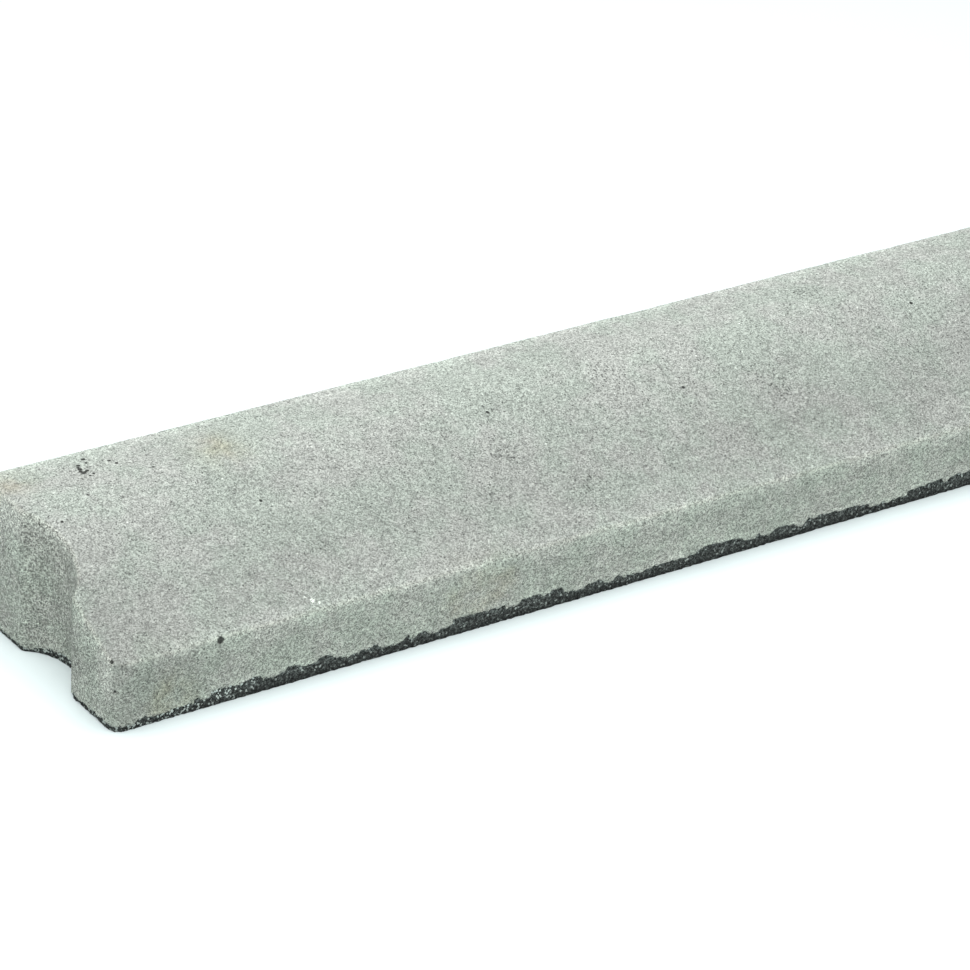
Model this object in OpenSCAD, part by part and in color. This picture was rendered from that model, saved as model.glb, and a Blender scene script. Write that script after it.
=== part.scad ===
// Low drive-over kerb stone: one solid piece of cast concrete. It has an upright front face, a
// straight slope and a flat top. One end has an upright groove, the other a tongue that fits
// into the groove of the next stone. It stands on its base; +X runs along the stone towards the
// tongue, the front face looks towards -Y, and the origin is the middle of the base.

/* [Body] */
// Laying length, from end face to end face without the tongue
stone_length = 1000; // [400:5:1250]
// Width of the base, from the front face to the back face
stone_width = 200; // [160:1:260]
// Height of the back and of the flat top above the base
stone_height = 120; // [95:1:160]
// Height of the upright front face, up to the line where the slope starts
front_height = 57; // [35:1:75]
// Width of the flat top, from the line where the slope ends to the back face
top_width = 60; // [45:1:80]

/* [Edges] */
// Radius of the long edge between the front face and the slope
fold_radius = 5; // [2:1:24]
// Radius of the soft bend between the slope and the flat top
crest_radius = 60; // [10:1:80]
// Radius of the long edge between the flat top and the back face
back_radius = 5; // [2:1:20]
// Radius of the two long edges of the base
base_radius = 4; // [1:0.5:8]
// Radius of the four upright corners
corner_radius = 11; // [3:1:20]
// Radius of the edges between the two ends and the slope and top
end_radius = 5; // [2:0.5:8]

/* [End joint] */
// Width of the groove, measured on the end face
groove_width = 75; // [50:1:95]
// Depth of the groove at its middle
groove_depth = 19; // [12:0.5:24]
// Gap between the tongue and the groove of the next stone, all round the arc
joint_clearance = 3; // [1:0.5:5]

/* [Hidden] */

// Sides of the round bars that make the groove and the tongue
smoothness = 96;
// Most degrees that one flat of a rounded edge turns, and the fewest flats that an edge has
arc_step = 7.5;
fewest_flats = 3;
// How far a cutter or a bar runs on past the surfaces of the body
overcut = 10;

half_length = stone_length / 2;
half_width = stone_width / 2;

// The groove and the tongue are arcs about the same centre, seen from above
groove_radius = (pow(groove_width / 2, 2) + pow(groove_depth, 2)) / (2 * groove_depth);
tongue_radius = groove_radius - joint_clearance;
arc_centre = groove_depth - groove_radius;

// Section across the stone, in [y, z], with the radius of each corner
section_corners = [
    [-half_width, 0],
    [-half_width, front_height],
    [half_width - top_width, stone_height],
    [half_width, stone_height],
    [half_width, 0]
];
section_radii = [base_radius, fold_radius, crest_radius, back_radius, base_radius];

// Outline of the body seen from above, in [x, y], without groove or tongue
plan_corners = [
    [-half_length, -half_width],
    [-half_length, half_width],
    [half_length, half_width],
    [half_length, -half_width]
];
plan_radii = [for (corner = plan_corners) corner_radius];

slope_run = stone_width - top_width;
slope_rise = stone_height - front_height;
slope_angle = atan2(slope_rise, slope_run);
slope_length = norm([slope_run, slope_rise]);

// Direction from one point to another, and the lengths that round off a corner
function heading(from, to) = (to - from) / norm(to - from);
function half_angle(before, corner, after) =
    acos(heading(corner, before) * heading(corner, after)) / 2;
function tangent_length(before, corner, after, radius) =
    radius / tan(half_angle(before, corner, after));
function arc_middle(before, corner, after, radius) =
    corner + radius / sin(half_angle(before, corner, after))
    * heading([0, 0], heading(corner, before) + heading(corner, after));

// Points along the arc about middle, from start to stop
function arc_points(middle, start, stop) =
    let (
        turn = acos(heading(middle, start) * heading(middle, stop)),
        steps = max(fewest_flats, ceil(turn / arc_step))
    )
    [
        for (i = [0 : steps])
            middle + (sin(turn * (1 - i / steps)) * (start - middle)
            + sin(turn * i / steps) * (stop - middle)) / sin(turn)
    ];

// Points that round one corner of an outline
function corner_points(before, corner, after, radius) =
    let (reach = tangent_length(before, corner, after, radius))
    arc_points(
        arc_middle(before, corner, after, radius),
        corner + reach * heading(corner, before),
        corner + reach * heading(corner, after)
    );

// Convex outline with every corner rounded to its own radius
module rounded_outline(corners, radii) {
    count = len(corners);
    polygon([
        for (i = [0 : count - 1])
            each corner_points(
                corners[(i + count - 1) % count],
                corners[i],
                corners[(i + 1) % count],
                radii[i]
            )
    ]);
}

// Bar with the stone's section, running on past both ends of the body
module section_bar() {
    bar_length = stone_length + 2 * (groove_depth + overcut);
    translate([-bar_length / 2, 0, 0])
        rotate([90, 0, 90])
            linear_extrude(bar_length)
                rounded_outline(section_corners, section_radii);
}

// Block with the body's outline seen from above
module plan_block() {
    translate([0, 0, -overcut])
        linear_extrude(stone_height + 2 * overcut)
            rounded_outline(plan_corners, plan_radii);
}

// Upright round bar at one end face, shared by the groove and the tongue
module end_bar(end_face, radius) {
    translate([end_face + arc_centre, 0, -overcut])
        cylinder(r = radius, h = stone_height + 2 * overcut, $fn = smoothness);
}

// What is cut away to round the edge between the +X end and a flat surface that starts at
// z = 0 and runs towards +Y. Its first and last flats run on past the stone's own surfaces, so
// that no edge of the cutter lies on them
module edge_cutter(run) {
    arc = arc_points([end_radius, -end_radius], [0, -end_radius], [end_radius, 0]);
    last = len(arc) - 1;
    translate([half_length, 0, 0])
        rotate([90, 0, 180])
            translate([0, 0, -overcut])
                linear_extrude(run + 2 * overcut)
                    polygon([
                        [-overcut, overcut],
                        arc[0] + overcut * heading(arc[1], arc[0]),
                        for (i = [1 : last - 1]) arc[i],
                        arc[last] + overcut * heading(arc[last - 1], arc[last])
                    ]);
}

// Cutters for the slope and the flat top at the +X end
module end_edge_cutters() {
    translate([0, -half_width, front_height])
        rotate([slope_angle, 0, 0])
            edge_cutter(slope_length);
    translate([0, half_width - top_width, stone_height])
        edge_cutter(top_width);
}

module kerb_stone() {
    color([0.70, 0.73, 0.70])
        difference() {
            union() {
                difference() {
                    intersection() {
                        section_bar();
                        plan_block();
                    }
                    end_edge_cutters();
                    mirror([1, 0, 0])
                        end_edge_cutters();
                }
                intersection() {
                    section_bar();
                    end_bar(half_length, tongue_radius);
                }
            }
            end_bar(-half_length, groove_radius);
        }
}

kerb_stone();
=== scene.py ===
import math

import bpy
import numpy as np
from mathutils import Matrix, Vector, geometry, noise


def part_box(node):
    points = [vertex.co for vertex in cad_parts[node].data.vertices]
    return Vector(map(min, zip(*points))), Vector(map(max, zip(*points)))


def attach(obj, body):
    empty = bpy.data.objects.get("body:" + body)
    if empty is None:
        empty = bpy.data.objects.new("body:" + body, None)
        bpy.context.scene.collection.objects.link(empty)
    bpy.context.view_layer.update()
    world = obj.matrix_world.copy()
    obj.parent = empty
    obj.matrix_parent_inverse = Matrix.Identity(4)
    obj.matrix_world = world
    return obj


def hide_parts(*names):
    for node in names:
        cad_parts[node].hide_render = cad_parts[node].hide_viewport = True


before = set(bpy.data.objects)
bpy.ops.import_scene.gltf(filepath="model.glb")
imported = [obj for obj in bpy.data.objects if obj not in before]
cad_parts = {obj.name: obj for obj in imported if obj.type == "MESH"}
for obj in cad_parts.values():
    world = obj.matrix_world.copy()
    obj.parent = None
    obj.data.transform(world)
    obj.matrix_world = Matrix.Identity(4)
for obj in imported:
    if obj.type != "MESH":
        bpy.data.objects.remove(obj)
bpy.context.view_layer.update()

# A low drive-over kerb stone of cast concrete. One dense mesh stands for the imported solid: its
# arrises are rounded, its faces are sandy and a little wavy, and along the base the clean face
# breaks off in a ragged line over a rough, dark, set-back edge.
# Lengths are in metres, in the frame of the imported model: +X along the stone, +Z up.

MM = 0.001
low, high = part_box("kerb_stone")

# ---------------------------------------------------------------- sizes of the stone
half_length = -low.x
half_width = high.y
stone_height = high.z
front_height = 57 * MM
top_width = 60 * MM
groove_width = 75 * MM
groove_depth = 19 * MM
fold_radius = 5 * MM
crest_radius = 60 * MM
tongue_reach = high.x - half_length
groove_radius = ((groove_width / 2) ** 2 + groove_depth ** 2) / (2 * groove_depth)
tongue_radius = groove_radius - (groove_depth - tongue_reach)
arc_offset = groove_depth - groove_radius

slope_run = 2 * half_width - top_width
slope_rise = stone_height - front_height
slope_angle = math.atan2(slope_rise, slope_run)

# ---------------------------------------------------------------- small numpy helpers


def smoothstep(start, stop, value):
    t = np.clip((value - start) / (stop - start), 0.0, 1.0)
    return t * t * (3.0 - 2.0 * t)


def mix(first, second, share):
    return first + (second - first) * share


def bell(value, middle, reach):
    """1 at the middle value, falling smoothly towards 0 beyond the reach on both sides."""
    return np.exp(-((value - middle) / reach) ** 2)


def stations(*spans):
    """Positions from 0, where each span is (length, rough step)."""
    positions = [0.0]
    for length, step in spans:
        count = max(1, round(length / step))
        start = positions[-1]
        positions += [start + length * (i + 1) / count for i in range(count)]
    return np.array(positions)


def fractal(points, scale, octaves=3, seed=0):
    """Fractal noise of about -1 to 1 at each point; scale is the size of its largest lumps."""
    shift = Vector((17.3 * seed, -9.1 * seed, 5.7 * seed))
    values = np.zeros(len(points))
    for i, point in enumerate(points):
        place = Vector(point) / scale + shift
        values[i] = noise.fractal(place, 0.6, 2.1, octaves)
    return values


# ---------------------------------------------------------------- shape of the stone


def rounded_max(first, second, radius):
    """The outer of two distances, with the edge between them rounded."""
    over_first = np.maximum(first + radius, 0.0)
    over_second = np.maximum(second + radius, 0.0)
    inside = np.minimum(np.maximum(first, second), -radius)
    return np.hypot(over_first, over_second) + inside


def edge_share(radius, turn):
    """The rounding that gives an arc of this radius where two flats meet with this turn."""
    return radius * math.tan(turn / 2) * math.sin(turn)


fold_rounding = edge_share(fold_radius, math.pi / 2 - slope_angle)
crest_rounding = edge_share(crest_radius, slope_angle)
back_rounding = 5 * MM
corner_rounding = 11 * MM
end_rounding = 4.5 * MM
groove_lip = 1.2 * MM
soft_lip = 9 * MM  # gives directions that don't cross where the lip is set back

# ---------------------------------------------------------------- marks on the faces

# How much darker or lighter parts of the faces are, as shares of the usual colour
SLOPE_DARKENING = 0.125
# A painted sheen that lightens the flat top
FLAT_SHEEN = 0.05
# Painted shade that darkens the groove in the grooved end
GROOVE_SHADE = 0.03
# Painted highlights that lighten the end faces and the groove below their upper arrises
END_RIM_LIFT = 0.50
GROOVE_RIM_LIFT = 0.32
END_SHADE = 0.13
# A painted highlight that lightens the front just under the fold
FRONT_TOP_LIFT = 0.135
FRONT_BAND_SHADE = 0.05
FRONT_MIDDLE_LIFT = 0.12
FRONT_CORNER_SHADE = 0.085
PATCHINESS = 0.022
# How strongly the pale strips show, clipped at 1: painted highlights, partly pale wear, along the
# fold, along the back of the flat top and round the ends, and a pale line just above the ragged
# line
FOLD_HIGHLIGHT_AND_WEAR = 1.15
REAR_HIGHLIGHT_AND_WEAR = 0.55
END_HIGHLIGHT_AND_WEAR = 0.33
LIP_PALENESS = 0.68
# How strongly the upright faces take the olive tint of the stains, from 0 to 1
UPRIGHT_WARMTH = 0.3
# How light each kind of mark is, beside the face round it
# The pale arris strips: painted highlights, partly pale wear
HIGHLIGHTED_AND_WORN = 1.38
PORE = 0.46
BRIGHT_GRAIN = 1.42
HOLE = 0.12
CHIP = 2.2

# Relief in millimetres. Waves, lumps and the raw edge each have a mean depth and a swing
WAVE_DEPTH = 0.20
WAVE_SWING = 0.16
LUMP_DEPTH = 0.07
LUMP_SWING = 0.10
RAW_DEPTH = 1.3
RAW_SWING = 1.0
# Height of the ragged line in millimetres: at the ends, away from them, and its limits
LINE_AT_ENDS = 3.6
LINE_INBOARD = 11.0
LINE_LOWEST = 1.8
LINE_HIGHEST = 15.0

# Single blowholes, as (x, y, z, radius) in millimetres: three on the front and its corner at the
# grooved end, four on the flat top, and five small ones down the bend and the slope
BLOWHOLES = (
    (-411, -100, 54, 2.3),
    (-500, -95, 59, 1.2),
    (-497, -97, 34, 0.9),
    (-406, 73, 120, 1.1),
    (-403, 67, 120, 1.1),
    (-382, 49, 120, 0.8),
    (-475, 20, 112, 0.9),
    (-444, 37, 120, 0.9),
    (-320, -4, 100, 1.0),
    (-101, 19, 111, 1.0),
    (72, -3, 101, 1.1),
    (320, 18, 110, 1.2),
)
# A bent crack of joined holes on the flat top, near the grooved end
CRACK = (
    (-422, 84, 120, 1.4),
    (-423, 78, 120, 0.9),
    (-430, 77, 120, 1.3),
    (-432, 74, 120, 1.0),
    (-432, 71, 120, 1.4),
    (-433, 68, 120, 1.3),
    (-432, 65, 120, 1.5),
    (-430, 66, 120, 1.1),
    (-428, 67, 120, 1.1),
    (-426, 61, 120, 0.9),
    (-430, 59, 120, 0.9),
)
# Places where the skin is broken by many small pores, as (x, y, z, radius)
PITTED = (
    (-430, 67, 120, 10),
    (-437, 50, 120, 7),
    (150, -20, 93, 16),
    (240, 60, 120, 13),
    (-60, -60, 75, 13),
    (-102, 19, 110, 9),
    (13, 25, 113, 12),
    (-110, -17, 94, 12),
    (-141, -47, 81, 9),
)
# White stone chips that show in the slope just above the fold, as (x, y, z, radius)
CHIPS = (
    (-328, -92, 61, 1.6),
    (-324, -95, 60, 1.1),
    (-332, -88, 63, 0.9),
)
# Olive-brown stains, as (x, y, z, radius)
STAINS = (
    (-487, 75, 120, 16),
    (-500, 88, 100, 14),
    (-453, -100, 18, 29),
    (-200, -100, 30, 22),
    (-165, -100, 34, 20),
    (-324, 53, 120, 20),
)


def side_distances(y, z):
    front = -half_width - y
    slope = (z - front_height) * math.cos(slope_angle) - (y + half_width) * math.sin(slope_angle)
    return front, slope, z - stone_height, y - half_width


def stone_distance(points, lip=groove_lip):
    """Distance outside the rounded stone, below zero inside it."""
    x, y, z = points[:, 0], points[:, 1], points[:, 2]
    front, slope, top, back = side_distances(y, z)
    section = rounded_max(front, slope, fold_rounding)
    section = rounded_max(section, top, crest_rounding)
    section = rounded_max(section, back, back_rounding)

    groove = groove_radius - np.hypot(x + half_length - arc_offset, y)
    near_end = rounded_max(-half_length - x, groove, lip)
    tongue = np.hypot(x - half_length - arc_offset, y) - tongue_radius
    far_end = -rounded_max(half_length - x, -tongue, lip)

    upright = smoothstep(-6 * MM, 6 * MM, np.maximum(front, back) - np.maximum(slope, top))
    rounding = mix(end_rounding, corner_rounding, upright)
    return rounded_max(rounded_max(section, near_end, rounding), far_end, rounding)


def outward(points, lip=groove_lip):
    """Unit direction out of the stone at each point, and the distance there."""
    step = 0.05 * MM
    here = stone_distance(points, lip)
    slopes = [stone_distance(points + step * axis, lip) - here for axis in np.eye(3)]
    gradient = np.stack(slopes, axis=1) / step
    size = np.linalg.norm(gradient, axis=1, keepdims=True)
    return gradient / np.maximum(size, 1e-6), here / np.maximum(size[:, 0], 0.3)


def onto_surface(points):
    """Moves points from the sharp-edged stone onto the rounded one."""
    passes = 6
    furthest = 4 * MM
    for _ in range(passes):
        direction, distance = outward(points)
        points = points - direction * np.clip(distance, -furthest, furthest)[:, None]
    return points


# ---------------------------------------------------------------- grid over the stone

# Spans along the stone from its grooved end and across it from the front, as (length, rough
# step): finest at the ends and at the upright corners
along = stations(
    (60 * MM, 1.5 * MM),
    (460 * MM, 2.3 * MM),
    (430 * MM, 3.3 * MM),
    (50 * MM, 1.8 * MM),
)
corner_span = (12 * MM, 1.5 * MM)
middle_span = (176 * MM, 2.3 * MM)
across = stations(corner_span, middle_span, corner_span) - half_width
# Rows up the sides: a fine band at the base, then shares of the height above it
edge_band = 18 * MM
edge_rows = stations((edge_band, 1.0 * MM))
upper_row_count = 27
upper_rows = stations((1.0, 1.0 / upper_row_count))[1:]
# Directions on the grid
ALONG = (1, 0, 0)
ACROSS = (0, 1, 0)
UP = (0, 0, 1)


def sharp_height(y):
    return min(stone_height, front_height + (y + half_width) * math.tan(slope_angle))


def arc_depth(radius, y):
    return max(0.0, arc_offset + math.sqrt(max(radius ** 2 - y ** 2, 0.0)))


def grid_point(i, j, k):
    """Point of the sharp-edged stone: i along it, j across it, k up it."""
    y = across[j]
    start = -half_length + arc_depth(groove_radius, y)
    stop = half_length + arc_depth(tongue_radius, y)
    x = mix(start, stop, along[i] / along[-1])
    if k < len(edge_rows):
        return x, y, edge_rows[k]
    return x, y, mix(edge_band, sharp_height(y), upper_rows[k - len(edge_rows)])


def grid_shell():
    """Points and faces of the sides, ends and top, and the loop round the base."""
    count_i, count_j = len(along) - 1, len(across) - 1
    count_k = len(edge_rows) + len(upper_rows) - 1
    index, points = {}, []

    def vertex(i, j, k):
        if (i, j, k) not in index:
            index[i, j, k] = len(points)
            points.append(grid_point(i, j, k))
        return index[i, j, k]

    def face(corner, first, second):
        """Square with its corner at a grid point, spanned by two grid directions."""
        steps = ((0, 0), (1, 0), (1, 1), (0, 1))
        return [
            vertex(*(c + a * f + b * g for c, f, g in zip(corner, first, second)))
            for a, b in steps
        ]

    faces = []
    for i in range(count_i):
        for k in range(count_k):
            for j, order in ((0, 1), (count_j, -1)):
                faces.append(face((i, j, k), ALONG, UP)[::order])
        for j in range(count_j):
            faces.append(face((i, j, count_k), ALONG, ACROSS))
    for j in range(count_j):
        for k in range(count_k):
            for i, order in ((0, -1), (count_i, 1)):
                faces.append(face((i, j, k), ACROSS, UP)[::order])

    loop = [vertex(i, 0, 0) for i in range(count_i)]
    loop += [vertex(count_i, j, 0) for j in range(count_j)]
    loop += [vertex(i, count_j, 0) for i in range(count_i, 0, -1)]
    loop += [vertex(0, j, 0) for j in range(count_j, 0, -1)]
    return np.array(points), faces, loop


# ---------------------------------------------------------------- relief


def raw_line(points):
    """Height of the ragged line where the clean face ends, at each point."""
    flat = points * np.array([1.0, 1.0, 0.0])
    broad = fractal(flat, 60 * MM, 2, seed=1)
    notches = smoothstep(-0.08, 0.12, fractal(flat, 22 * MM, 2, seed=2)) - 0.5
    jags = fractal(flat, 5 * MM, 3, seed=3)

    # The line runs low across the ends and rises along the front and back
    inboard = smoothstep(4 * MM, 45 * MM, half_length - np.abs(points[:, 0]))
    middle = mix(LINE_AT_ENDS, LINE_INBOARD, inboard)
    swing = mix(0.3, 1.0, inboard)
    height = middle + swing * (4.5 * broad + 4.0 * notches) + 1.8 * jags
    return np.clip(height, LINE_LOWEST, LINE_HIGHEST) * MM


def near_arris(first, second, reach):
    """How near each point of the surface is to the edge between two faces, from 0 to 1."""
    far = np.maximum(np.abs(first), np.abs(second))
    return bell(far, 0.0, reach)


def end_distance(x):
    return np.maximum(-half_length - x, x - half_length)


def relief(points, direction, line):
    """How far each point is set back into the stone, and whether it is on the raw edge."""
    x, y, z = points[:, 0], points[:, 1], points[:, 2]
    front, slope, top, back = side_distances(y, z)

    waves = WAVE_DEPTH + WAVE_SWING * fractal(points, 110 * MM, 2, seed=4)
    lumps = LUMP_DEPTH + LUMP_SWING * fractal(points, 7 * MM, 3, seed=5)

    # The arrises are nibbled where two faces are both close
    nearest = np.sort(np.stack([front, slope, top, back, end_distance(x)]), axis=0)
    second = -nearest[-2]
    arris = bell(second, 0.0, 3.0 * MM)
    nibbles = smoothstep(0.1, 0.8, fractal(points, 14 * MM, 3, seed=6))

    # Below the ragged line the face is set back a little and lumpy
    upright = 1.0 - np.abs(direction[:, 2])
    below = smoothstep(-0.6 * MM, 0.8 * MM, line - z) * smoothstep(0.2, 0.6, upright)
    rough = fractal(points, 3.5 * MM, 3, seed=7)
    set_back = below * (RAW_DEPTH + RAW_SWING * rough)

    depth = (waves + lumps + arris * nibbles) * (1.0 - below) + set_back
    return np.maximum(depth, 0.0) * MM, below


def highlights_and_wear(points, line):
    """Pale strips along the edges of the stone, from 0 to 1: painted highlights on the arrises,
    partly pale wear, and a pale line just above the ragged line.
    """
    x, y, z = points[:, 0], points[:, 1], points[:, 2]
    front, slope, top, back = side_distances(y, z)
    broken = smoothstep(-0.5, 0.5, fractal(points, 30 * MM, 3, seed=12))
    upper = np.maximum(slope, top)

    fold = FOLD_HIGHLIGHT_AND_WEAR * near_arris(front, slope, 2.5 * MM) * mix(0.7, 1.0, broken)
    rear = REAR_HIGHLIGHT_AND_WEAR * near_arris(top, back, 13 * MM)
    end = END_HIGHLIGHT_AND_WEAR * near_arris(end_distance(x), upper, 3.0 * MM) * broken
    above_line = z - line
    lip = LIP_PALENESS * smoothstep(7.5 * MM, 1.5 * MM, above_line)
    lip = lip * smoothstep(-1.0 * MM, 0.0, above_line)
    return np.clip(fold + rear + end + lip * mix(0.4, 1.0, broken), 0.0, 1.0)


def end_shares(points):
    """How far each point belongs to the groove, and to the flat ends or the tongue."""
    x, y = points[:, 0], points[:, 1]
    off_groove = np.abs(groove_radius - np.hypot(x + half_length - arc_offset, y))
    in_groove = smoothstep(3 * MM, 1 * MM, off_groove) * (x < 0.0)
    on_end = smoothstep(-3 * MM, 0.0, end_distance(x)) * (1.0 - in_groove)
    return in_groove, on_end


def tone(points):
    """How light the face is beside its usual colour: handled parts differ, the face is patchy,
    the slope is darker across its middle, and light and shade are painted in: a sheen on the flat
    top, highlights on the ends below their upper arrises and under the fold, and shade in the
    groove.
    """
    x, y, z = points[:, 0], points[:, 1], points[:, 2]
    front, slope, top, _ = side_distances(y, z)
    across_slope = np.clip((y + half_width) / slope_run, 0.0, 1.0)
    upper = smoothstep(-3 * MM, 1 * MM, np.maximum(slope, top) - front)
    # The slope is darker across its middle
    darker_slope = SLOPE_DARKENING * bell(across_slope, 0.31, 0.37)
    # The flat top is lighter, as a painted sheen
    top_sheen = FLAT_SHEEN * smoothstep(0.70, 1.0, across_slope)
    handled = END_SHADE * bell(x, -half_length, 55 * MM) * (1.0 - across_slope)
    patches = PATCHINESS * fractal(points, 120 * MM, 2, seed=13)

    in_groove, on_end = end_shares(points)
    # The end faces and the groove are lighter below their upper arrises, as painted highlight,
    # and the groove is darker, as painted shade in the hollow
    below_upper = np.maximum(-np.maximum(slope, top), 0.0)
    end_rim = END_RIM_LIFT * bell(below_upper, 0.0, 28 * MM)
    groove_rim = GROOVE_RIM_LIFT * bell(below_upper, 0.0, 9 * MM)
    ends = on_end * end_rim + in_groove * (groove_rim - GROOVE_SHADE)

    # The front is palest under the fold, as a painted highlight off the rounded fold, and along
    # its middle, and darker at the grooved end
    on_front = (1.0 - upper) * smoothstep(-3 * MM, 0.0, front)
    on_front = on_front * (1.0 - on_end) * (1.0 - in_groove)
    fold_highlight_band = FRONT_TOP_LIFT * bell(below_upper, 4 * MM, 6.5 * MM)
    dark_band = FRONT_BAND_SHADE * bell(below_upper, 17 * MM, 6 * MM)
    inboard = smoothstep(-470 * MM, -370 * MM, x)
    along_front = mix(-FRONT_CORNER_SHADE, FRONT_MIDDLE_LIFT, inboard)
    upper_tone = upper * (top_sheen - darker_slope - handled)
    front_tone = on_front * (fold_highlight_band - dark_band + along_front)
    return 1.0 + upper_tone + ends + front_tone + patches


def uprightness(points):
    """1 on the front, back and ends, 0 on the slope and the flat top."""
    front, slope, top, back = side_distances(points[:, 1], points[:, 2])
    sides = np.maximum(np.maximum(front, back), end_distance(points[:, 0]))
    in_groove, on_end = end_shares(points)
    off_top = smoothstep(-3 * MM, 1 * MM, sides - np.maximum(slope, top))
    return np.maximum(off_top, np.maximum(in_groove, on_end))


def grittiness(points):
    """How much rougher the grain looks than on the slope: most on the ends, some on the front."""
    front, slope, top, _ = side_distances(points[:, 1], points[:, 2])
    on_front = smoothstep(-3 * MM, 1 * MM, front - np.maximum(slope, top))
    in_groove, on_end = end_shares(points)
    return np.maximum(np.maximum(in_groove, on_end), 0.3 * on_front)


def blot(points, places):
    """Soft-edged marks, from 0 to 1, at places given as (x, y, z, radius) in millimetres."""
    strength = np.zeros(len(points))
    ragged = 0.7 + 0.6 * fractal(points, 18 * MM, 3, seed=14)
    for x, y, z, radius in places:
        distance = np.linalg.norm(points - np.array([x, y, z]) * MM, axis=1)
        strength += bell(distance, 0.0, radius * MM)
    return np.clip(strength * ragged, 0.0, 1.0)


def base_fill(points, loop):
    """Points and faces that close the underside, with a rough flat face."""
    outline = [Vector((points[v][0], points[v][1])) for v in loop]
    step = 8 * MM
    margin = 8 * MM
    pit_size = 20 * MM
    pit_depth = 1.2 * MM
    inner = []
    generator = np.random.default_rng(11)
    for x in np.arange(-half_length + step, half_length, step):
        for y in np.arange(-half_width + step, half_width, step):
            px, py = np.array([x, y]) + generator.uniform(-0.3, 0.3, 2) * step
            near = np.array([[px, py, stone_height / 4]])
            if stone_distance(near)[0] < -margin:
                inner.append(Vector((px, py)))
    coords = outline + inner
    edges = [(i, (i + 1) % len(outline)) for i in range(len(outline))]
    made, _, faces, _, _, _ = geometry.delaunay_2d_cdt(coords, edges, [], 1, 1e-7)
    if len(made) != len(coords):
        raise RuntimeError("the outline of the base crosses itself")
    pits = fractal([(v.x, v.y, 0.0) for v in made], pit_size, 3, seed=8)
    lifted = [(v.x, v.y, max(0.0, pit) * pit_depth) for v, pit in zip(made, pits)]
    order = [list(face)[::-1] for face in faces]
    return lifted, order, len(outline)


def make_stone():
    points, faces, loop = grid_shell()
    points = onto_surface(points)
    points[loop, 2] = 0.0
    direction, _ = outward(points, soft_lip)
    line = raw_line(points)
    depth, below = relief(points, direction, line)
    inward = direction.copy()
    inward[:, 2] *= 1.0 - below
    inward[loop, 2] = 0.0
    points = points - inward * depth[:, None]
    points[:, 2] = np.clip(points[:, 2], 0.0, stone_height)

    base, base_faces, shared = base_fill(points, loop)
    numbers = list(loop) + [len(points) + n for n in range(len(base) - shared)]
    points = np.vstack([points, np.array(base[shared:])])
    faces += [[numbers[v] for v in face] for face in base_faces]

    mesh = bpy.data.meshes.new("kerb_stone_surface")
    mesh.from_pydata(points.tolist(), [], faces)
    mesh.validate()
    mesh.shade_smooth()
    full_line = np.concatenate([line, np.full(len(base) - shared, edge_band)])
    add_attribute(mesh, "raw_line", full_line)
    add_attribute(mesh, "highlights_and_wear", highlights_and_wear(points, full_line))
    add_attribute(mesh, "tone", tone(points))
    add_attribute(mesh, "gritty", grittiness(points))
    warmth = UPRIGHT_WARMTH * uprightness(points)
    add_attribute(mesh, "stain", np.maximum(blot(points, STAINS), warmth))
    add_attribute(mesh, "pitted", blot(points, PITTED))
    stone = bpy.data.objects.new("kerb_stone_surface", mesh)
    bpy.context.scene.collection.objects.link(stone)
    return stone


def add_attribute(mesh, name, values):
    attribute = mesh.attributes.new(name, "FLOAT", "POINT")
    attribute.data.foreach_set("value", np.asarray(values, np.float32))


# ---------------------------------------------------------------- materials


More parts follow.
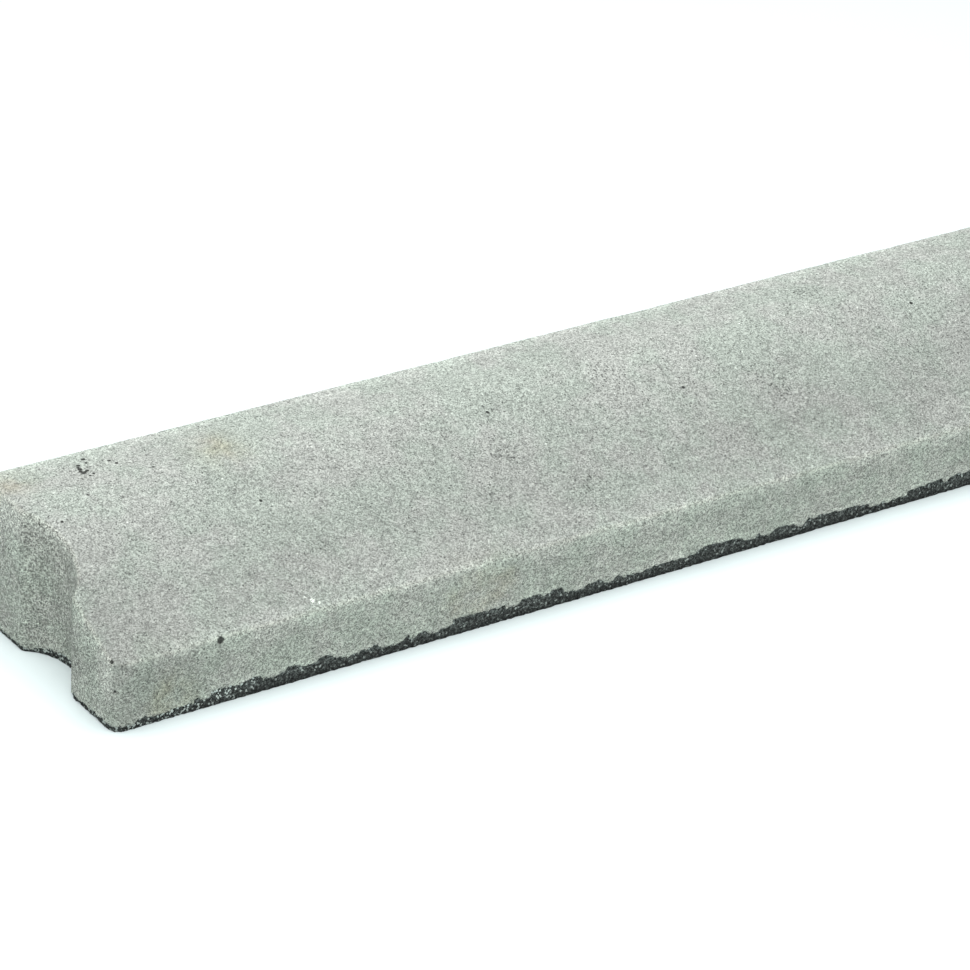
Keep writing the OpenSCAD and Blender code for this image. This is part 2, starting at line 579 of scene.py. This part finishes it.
class Nodes:
    """Small helper for building a material's node tree."""

    def __init__(self, name):
        self.material = bpy.data.materials.new(name)
        self.material.use_nodes = True
        self.tree = self.material.node_tree
        self.shader = self.tree.nodes["Principled BSDF"]
        self.place = self.add("ShaderNodeTexCoord").outputs["Object"]

    def add(self, kind, **settings):
        node = self.tree.nodes.new(kind)
        for name, value in settings.items():
            setattr(node, name, value)
        return node

    def feed(self, socket, value):
        if isinstance(value, bpy.types.NodeSocket):
            self.tree.links.new(value, socket)
        else:
            socket.default_value = value

    def math(self, operation, first, second=0.0):
        node = self.add("ShaderNodeMath", operation=operation)
        self.feed(node.inputs[0], first)
        self.feed(node.inputs[1], second)
        return node.outputs[0]

    def noise(self, size, detail=3.0, roughness=0.6, seed=0.0):
        shift = self.add("ShaderNodeVectorMath", operation="ADD")
        self.feed(shift.inputs[0], self.place)
        shift.inputs[1].default_value = (3.1 * seed, -1.7 * seed, 2.3 * seed)
        node = self.add("ShaderNodeTexNoise")
        self.feed(node.inputs["Vector"], shift.outputs["Vector"])
        node.inputs["Scale"].default_value = 1.0 / size
        node.inputs["Detail"].default_value = detail
        node.inputs["Roughness"].default_value = roughness
        return node.outputs["Fac"]

    def random_grains(self, size):
        """A random value from 0 to 1 for each grain of about this size."""
        cells = self.add("ShaderNodeTexVoronoi")
        self.feed(cells.inputs["Vector"], self.place)
        cells.inputs["Scale"].default_value = 1.0 / size
        split = self.add("ShaderNodeSeparateColor")
        self.feed(split.inputs[0], cells.outputs["Color"])
        return split.outputs[0]

    def spread(self, value, start, stop, to_start=0.0, to_stop=1.0, smooth=True):
        """Maps the range start to stop onto another range."""
        node = self.add("ShaderNodeMapRange")
        node.interpolation_type = "SMOOTHSTEP" if smooth else "LINEAR"
        self.feed(node.inputs["Value"], value)
        node.inputs["From Min"].default_value = start
        node.inputs["From Max"].default_value = stop
        node.inputs["To Min"].default_value = to_start
        node.inputs["To Max"].default_value = to_stop
        return node.outputs["Result"]

    def stretch(self, noise_value, to_start, to_stop):
        """Maps noise, which mostly lies from 0.3 to 0.7, onto a range."""
        return self.spread(noise_value, 0.3, 0.7, to_start, to_stop, False)

    def vary(self, value, driver, at_zero, at_one):
        """Multiplies a value by a share that runs with a driver of 0 to 1."""
        share = self.spread(driver, 0.0, 1.0, at_zero, at_one, False)
        return self.math("MULTIPLY", value, share)

    def colour(self, blend, share, first, second):
        node = self.add("ShaderNodeMix", data_type="RGBA", blend_type=blend)
        self.feed(node.inputs["Factor"], share)
        self.feed(node.inputs[6], first)
        self.feed(node.inputs[7], second)
        return node.outputs[2]

    def attribute(self, name):
        return self.add("ShaderNodeAttribute", attribute_name=name).outputs["Fac"]


def spots(n, places):
    """1 inside the round places, given as (x, y, z, radius) in millimetres, and 0 elsewhere."""
    total = 0.0
    for x, y, z, radius in places:
        centre = onto_surface(np.array([[x, y, z]]) * MM)[0]
        gap = n.add("ShaderNodeVectorMath", operation="DISTANCE")
        n.feed(gap.inputs[0], n.place)
        gap.inputs[1].default_value = centre.tolist()
        hole = n.spread(gap.outputs["Value"], 1.5 * radius * MM, 0.9 * radius * MM)
        total = n.math("ADD", total, hole)
    return n.math("MINIMUM", total, 1.0)


def pores_and_grains(n):
    """Small dark dots, more and wider where the skin is broken, and pale dots of that size."""
    spacing = 2.4 * MM
    rim = 0.38
    core = 0.18
    cells = n.add("ShaderNodeTexVoronoi")
    n.feed(cells.inputs["Vector"], n.place)
    cells.inputs["Scale"].default_value = 1.0 / spacing
    off_centre = cells.outputs["Distance"]
    chance = n.add("ShaderNodeSeparateColor")
    n.feed(chance.inputs[0], cells.outputs["Color"])

    pitted = n.attribute("pitted")
    need = n.spread(pitted, 0.0, 1.0, 0.84, 0.05, False)
    picked = n.math("GREATER_THAN", chance.outputs[0], need)
    widened = n.math("SUBTRACT", off_centre, n.math("MULTIPLY", pitted, 0.16))
    pores = n.math("MULTIPLY", picked, n.spread(widened, rim, core))

    pale = n.math("GREATER_THAN", chance.outputs[1], 0.90)
    return pores, n.math("MULTIPLY", pale, n.spread(off_centre, rim, core))


def raw_edge(n, grains):
    """Colour of the dark raw edge along the base, and where it shows, from 0 to 1."""
    place = n.add("ShaderNodeSeparateXYZ")
    n.feed(place.inputs[0], n.place)
    raggedness = 1.8 * MM
    ragged = n.stretch(n.noise(2.4 * MM, 3.0, 0.75, 5.0), -raggedness, raggedness)
    line = n.math("ADD", n.attribute("raw_line"), ragged)
    under_line = n.math("SUBTRACT", line, place.outputs["Z"])
    below = n.spread(under_line, -0.25 * MM, 0.45 * MM)

    grit = n.spread(n.noise(2.2 * MM, 3.0, 0.75, 6.0), 0.38, 0.80, 0.013, 0.135)
    grit = n.vary(grit, grains, 0.15, 1.85)

    # Pale aggregate shows in it, most of all towards the grooved end
    inboard = -340 * MM
    at_end = -440 * MM
    need = n.spread(place.outputs["X"], inboard, at_end, 0.965, 0.80)
    aggregate = n.math("GREATER_THAN", n.random_grains(1.5 * MM), need)
    paleness = n.spread(place.outputs["X"], inboard, at_end, 0.20, 0.42)
    grit = n.math("ADD", grit, n.math("MULTIPLY", aggregate, paleness))

    # It is darkest at its foot, where the darkening is painted contact shadow along the floor
    foot = n.spread(place.outputs["Z"], 0.5 * MM, 9.0 * MM, 0.7, 1.9, False)
    grit = n.math("MULTIPLY", grit, foot)
    raw_tint = (0.86, 0.96, 0.90, 1.0)
    return n.colour("MULTIPLY", 1.0, raw_tint, grit), below


def stained_body(n):
    """Colour of the clean concrete, with its faint tints and olive stains."""
    body = (0.310, 0.334, 0.306, 1.0)
    green_tint = (0.975, 1.005, 0.985, 1.0)
    pink_tint = (1.02, 0.995, 1.01, 1.0)
    olive_tint = (0.95, 0.88, 0.77, 1.0)
    most_stain = 0.9

    tint = n.spread(n.noise(45 * MM, 3.0, 0.6, 1.0), 0.38, 0.62)
    tinted = n.colour("MULTIPLY", 1.0, body, n.colour("MIX", tint, green_tint, pink_tint))
    stain = n.math("MULTIPLY", n.attribute("stain"), most_stain)
    return n.colour("MULTIPLY", stain, tinted, olive_tint)


def concrete_material():
    n = Nodes("sandy_grey_concrete")
    stained = stained_body(n)

    # Sand: random grains of two sizes, with soft noise between them and over larger areas
    grains = n.random_grains(0.85 * MM)
    fine = n.spread(grains, 0.0, 1.0, 0.50, 1.50, False)
    coarse = n.spread(n.random_grains(2.1 * MM), 0.0, 1.0, 0.88, 1.12, False)
    sand = n.noise(2.4 * MM, 3.0, 0.8, 4.0)
    drift = n.stretch(sand, 0.90, 1.10)
    clouds = n.stretch(n.noise(90 * MM, 4.0, 0.6, 2.0), 0.955, 1.045)
    mottle = n.stretch(n.noise(14 * MM, 3.0, 0.65, 3.0), 0.92, 1.08)
    cloudy = n.math("MULTIPLY", clouds, mottle)
    value = n.math("MULTIPLY", cloudy, n.math("MULTIPLY", fine, coarse))
    contrast = n.spread(n.attribute("gritty"), 0.0, 1.0, 1.0, 1.5, False)
    value = n.math("POWER", n.math("MULTIPLY", value, drift), contrast)
    value = n.math("MULTIPLY", value, n.attribute("tone"))

    pores, bright_grains = pores_and_grains(n)
    holes = spots(n, BLOWHOLES + CRACK)
    # Pale strips along the arrises: painted highlights, partly pale wear
    value = n.vary(value, n.attribute("highlights_and_wear"), 1.0, HIGHLIGHTED_AND_WORN)
    value = n.vary(value, pores, 1.0, PORE)
    value = n.vary(value, bright_grains, 1.0, BRIGHT_GRAIN)
    value = n.vary(value, holes, 1.0, HOLE)
    value = n.vary(value, spots(n, CHIPS), 1.0, CHIP)
    face = n.colour("MULTIPLY", 1.0, stained, value)

    raw, below = raw_edge(n, grains)
    n.feed(n.shader.inputs["Base Color"], n.colour("MIX", below, face, raw))
    n.feed(n.shader.inputs["Roughness"], n.stretch(sand, 0.80, 0.96))
    n.shader.inputs["Specular IOR Level"].default_value = 0.3

    # Height in units of the bump distance: sand stands up, pores and holes go in
    height = n.math("MULTIPLY", sand, 0.8)
    height = n.math("ADD", height, n.math("MULTIPLY", grains, 0.45))
    height = n.math("SUBTRACT", height, n.math("MULTIPLY", pores, 1.2))
    height = n.math("SUBTRACT", height, n.math("MULTIPLY", holes, 3.0))
    bump = n.add("ShaderNodeBump")
    bump.inputs["Strength"].default_value = 0.8
    bump.inputs["Distance"].default_value = 0.5 * MM
    n.feed(bump.inputs["Height"], height)
    n.feed(n.shader.inputs["Normal"], bump.outputs["Normal"])
    return n.material


def plain_material(name, colour, roughness):
    n = Nodes(name)
    n.shader.inputs["Base Color"].default_value = colour
    n.shader.inputs["Roughness"].default_value = roughness
    return n.material


# ---------------------------------------------------------------- floor, light, camera


def make_floor():
    mesh = bpy.data.meshes.new("studio_floor")
    reach = 8.0
    level = -0.1 * MM  # a hair under the base, so that the two faces don't flicker
    white = (0.71, 0.79, 0.795, 1.0)
    corners = [
        (-reach, -reach, level),
        (reach, -reach, level),
        (reach, reach, level),
        (-reach, reach, level),
    ]
    mesh.from_pydata(corners, [], [(0, 1, 2, 3)])
    floor = bpy.data.objects.new("studio_floor", mesh)
    bpy.context.scene.collection.objects.link(floor)
    mesh.materials.append(plain_material("studio_floor_white", white, 0.9))


def make_light():
    world = bpy.data.worlds.new("studio")
    world.use_nodes = True
    background = world.node_tree.nodes["Background"]
    background.inputs["Color"].default_value = (0.98, 1.0, 1.0, 1.0)
    background.inputs["Strength"].default_value = 0.62
    bpy.context.scene.world = world

    lamp = bpy.data.lights.new("softbox", "AREA")
    lamp.shape = "SQUARE"
    lamp.size = 3.0
    lamp.energy = 96.0
    softbox = bpy.data.objects.new("softbox", lamp)
    softbox.location = (-0.35, -0.1, 2.4)
    aim = Vector((0, 0, 0)) - softbox.location
    softbox.rotation_euler = aim.to_track_quat("-Z", "Y").to_euler()
    bpy.context.scene.collection.objects.link(softbox)


def make_camera():
    """Long lens, looking down along the stone from its grooved end, a little tilted."""
    target = Vector((-0.1145, -0.0019, 0.060))
    azimuth, elevation, roll = (math.radians(a) for a in (35.564, 27.865, 3.288))
    distance = 3.3454
    forward = Vector((
        math.sin(azimuth) * math.cos(elevation),
        math.cos(azimuth) * math.cos(elevation),
        -math.sin(elevation),
    ))
    level_right = Vector((math.cos(azimuth), -math.sin(azimuth), 0.0))
    level_up = level_right.cross(forward)
    right = math.cos(roll) * level_right + math.sin(roll) * level_up
    up = math.cos(roll) * level_up - math.sin(roll) * level_right
    turn = Matrix((right, up, -forward)).transposed()

    data = bpy.data.cameras.new("camera")
    data.sensor_width = 36.0
    data.lens = 160.43
    camera = bpy.data.objects.new("camera", data)
    camera.matrix_world = Matrix.Translation(target - distance * forward) @ turn.to_4x4()
    bpy.context.scene.collection.objects.link(camera)
    bpy.context.scene.camera = camera


# ---------------------------------------------------------------- the scene

make_camera()
make_light()
make_floor()
bpy.context.scene.view_settings.view_transform = "Standard"

stone = make_stone()
stone.data.materials.append(concrete_material())
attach(stone, "root")
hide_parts("kerb_stone")
